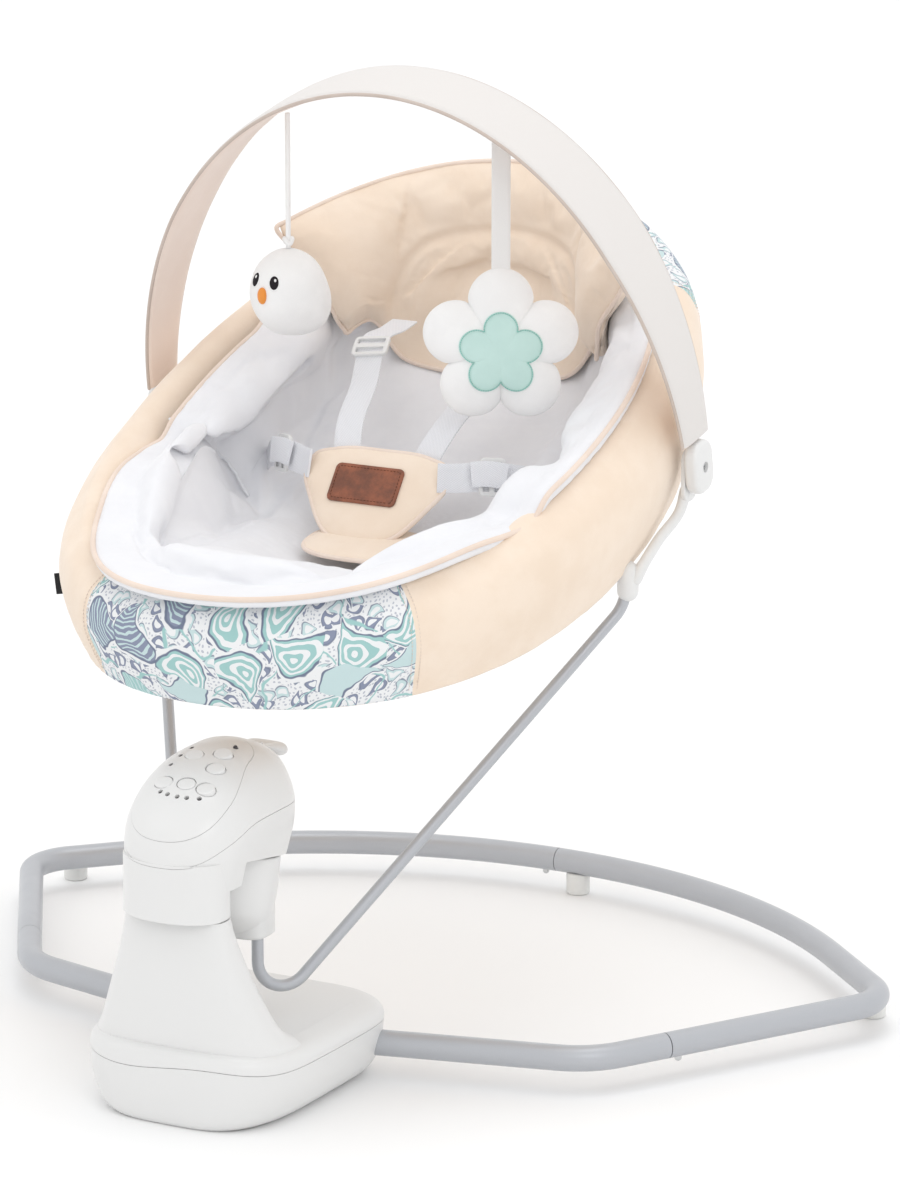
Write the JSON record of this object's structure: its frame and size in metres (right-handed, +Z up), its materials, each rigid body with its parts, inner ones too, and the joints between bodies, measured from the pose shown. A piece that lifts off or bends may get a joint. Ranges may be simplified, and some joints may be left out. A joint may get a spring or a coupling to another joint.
{
  "type": "baby swing",
  "caption": "Baby swing: padded bowl seat with harness and toy bar on two bent rods, turning on a drive column that stands on a round tube loop.",
  "frame": {"origin": "centre of the footprint box, on the floor that the base and feet stand on", "axes": "+Y from the control column towards the head end of the seat, +Z up, +X to the right for a person who stands at the control column and looks along +Y"},
  "size_m": [0.8622, 0.738, 0.8158],
  "materials": {
    "satin_grey_tube": "satin grey paint",
    "bright_steel": "polished",
    "plain_steel": "plain machined steel",
    "white_plastic": "soft gloss, warm white",
    "dark_plastic": "matte, near black",
    "rubber_foot": "matte white rubber",
    "circuit_board": "green laminate",
    "clear_light": "smoky clear",
    "copper_coil": "enamelled copper",
    "peach_cloth": "short pile velour",
    "patterned_cloth": "printed cotton with a leaf and teardrop pattern",
    "white_cloth": "soft brushed cotton",
    "webbing": "woven webbing",
    "toy_bar_cloth": "smooth padded cloth",
    "plush": "short plush",
    "cord_cloth": "braided cord"
  },
  "bodies": {
    "stand": {"front_tube_right": "satin_grey_tube", "rear_tube_right": "satin_grey_tube", "tube_plug_right": "dark_plastic", "foot_right": "rubber_foot", "front_tube_left": "satin_grey_tube", "rear_tube_left": "satin_grey_tube", "tube_plug_left": "dark_plastic", "foot_left": "rubber_foot", "tube_plug_rear": "dark_plastic", "foot_rear": "rubber_foot", "base_lower_shell": "white_plastic", "battery_cover": "white_plastic", "base_upper_shell": "white_plastic", "head_lower_shell": "white_plastic", "head_upper_shell": "white_plastic", "control_panel": "white_plastic", "dc_inlet": "dark_plastic", "shaft_bush_lower": "dark_plastic", "shaft_bush_upper": "dark_plastic", "speaker": "dark_plastic", "control_board": "circuit_board", "speed_light_bar": "clear_light", "timer_light_bar": "clear_light", "drive_coil": "copper_coil"},
    "swing": {"hub_shell": "white_plastic", "hub_shaft": "plain_steel", "drive_magnet": "plain_steel", "swing_rod_right": "satin_grey_tube", "swing_rod_left": "satin_grey_tube", "seat_frame": "plain_steel", "seat_cover": "patterned_cloth", "insert_pad": "white_cloth", "seat_bracket_right": "white_plastic", "seat_bracket_left": "white_plastic", "head_pillow": "peach_cloth", "buckle_pad": "peach_cloth", "shoulder_strap_right": "webbing", "shoulder_strap_left": "webbing", "waist_strap_right": "webbing", "waist_strap_left": "webbing", "crotch_strap": "webbing"},
    "toy_bar": {"toy_bar": "toy_bar_cloth", "toy_bar_end_right": "white_plastic", "toy_bar_end_left": "white_plastic"},
    "bird": {"bird_toy": "plush", "bird_cord": "cord_cloth"},
    "flower": {"flower_toy": "plush", "flower_strap": "cord_cloth"},
    "release_lever": {"release_lever": "white_plastic"},
    "timer_button": {"timer_button": "white_plastic"},
    "music_button": {"music_button": "white_plastic"},
    "volume_button": {"volume_button": "white_plastic"},
    "nature_button": {"nature_button": "white_plastic"},
    "speed_down_button": {"speed_down_button": "white_plastic"},
    "speed_up_button": {"speed_up_button": "white_plastic"},
    "snap_button_right": {"snap_button_right": "bright_steel"},
    "snap_button_left": {"snap_button_left": "bright_steel"},
    "snap_button_rear": {"snap_button_rear": "bright_steel"}
  },
  "joints": [
    {"name": "swing_drive", "type": "hinge", "parent": "stand", "child": "swing", "pos_m": [0, -0.26, 0.207], "axis": [0, 0.1736, 0.9848], "range_deg": [-16, 16]},
    {"name": "toy_bar_pivot", "type": "hinge", "parent": "swing", "child": "toy_bar", "pos_m": [0, 0.089, 0.489], "axis": [1, 0, 0], "range_deg": [-18, 31]},
    {"name": "bird_swing", "type": "hinge", "parent": "toy_bar", "child": "bird", "pos_m": [-0.105, 0.038, 0.771], "axis": [1, 0, 0], "range_deg": [-20, 20]},
    {"name": "flower_swing", "type": "hinge", "parent": "toy_bar", "child": "flower", "pos_m": [0.101, 0.038, 0.771], "axis": [1, 0, 0], "range_deg": [-20, 12]},
    {"name": "release_lever_tilt", "type": "hinge", "parent": "stand", "child": "release_lever", "pos_m": [0, -0.225, 0.29], "axis": [1, 0, 0], "range_deg": [0, 8], "stiffness_Nm_per_rad": 0.25},
    {"name": "timer_press", "type": "slide", "parent": "stand", "child": "timer_button", "axis": [0, 0.4384, -0.8988], "range_m": [0, 0.0012], "stiffness_N_per_m": 400},
    {"name": "music_press", "type": "slide", "parent": "stand", "child": "music_button", "axis": [0, 0.4384, -0.8988], "range_m": [0, 0.0012], "stiffness_N_per_m": 400},
    {"name": "volume_press", "type": "slide", "parent": "stand", "child": "volume_button", "axis": [0, 0.4384, -0.8988], "range_m": [0, 0.0012], "stiffness_N_per_m": 400},
    {"name": "nature_press", "type": "slide", "parent": "stand", "child": "nature_button", "axis": [0, 0.4384, -0.8988], "range_m": [0, 0.0012], "stiffness_N_per_m": 400},
    {"name": "speed_down_press", "type": "slide", "parent": "stand", "child": "speed_down_button", "axis": [0, 0.4384, -0.8988], "range_m": [0, 0.0012], "stiffness_N_per_m": 400},
    {"name": "speed_up_press", "type": "slide", "parent": "stand", "child": "speed_up_button", "axis": [0, 0.4384, -0.8988], "range_m": [0, 0.0012], "stiffness_N_per_m": 400},
    {"name": "snap_right_press", "type": "slide", "parent": "stand", "child": "snap_button_right", "axis": [0, 0, 1], "range_m": [0, 0.0026], "stiffness_N_per_m": 1500},
    {"name": "snap_left_press", "type": "slide", "parent": "stand", "child": "snap_button_left", "axis": [0, 0, 1], "range_m": [0, 0.0026], "stiffness_N_per_m": 1500},
    {"name": "snap_rear_press", "type": "slide", "parent": "stand", "child": "snap_button_rear", "axis": [0, 0, 1], "range_m": [0, 0.0026], "stiffness_N_per_m": 1500}
  ]
}
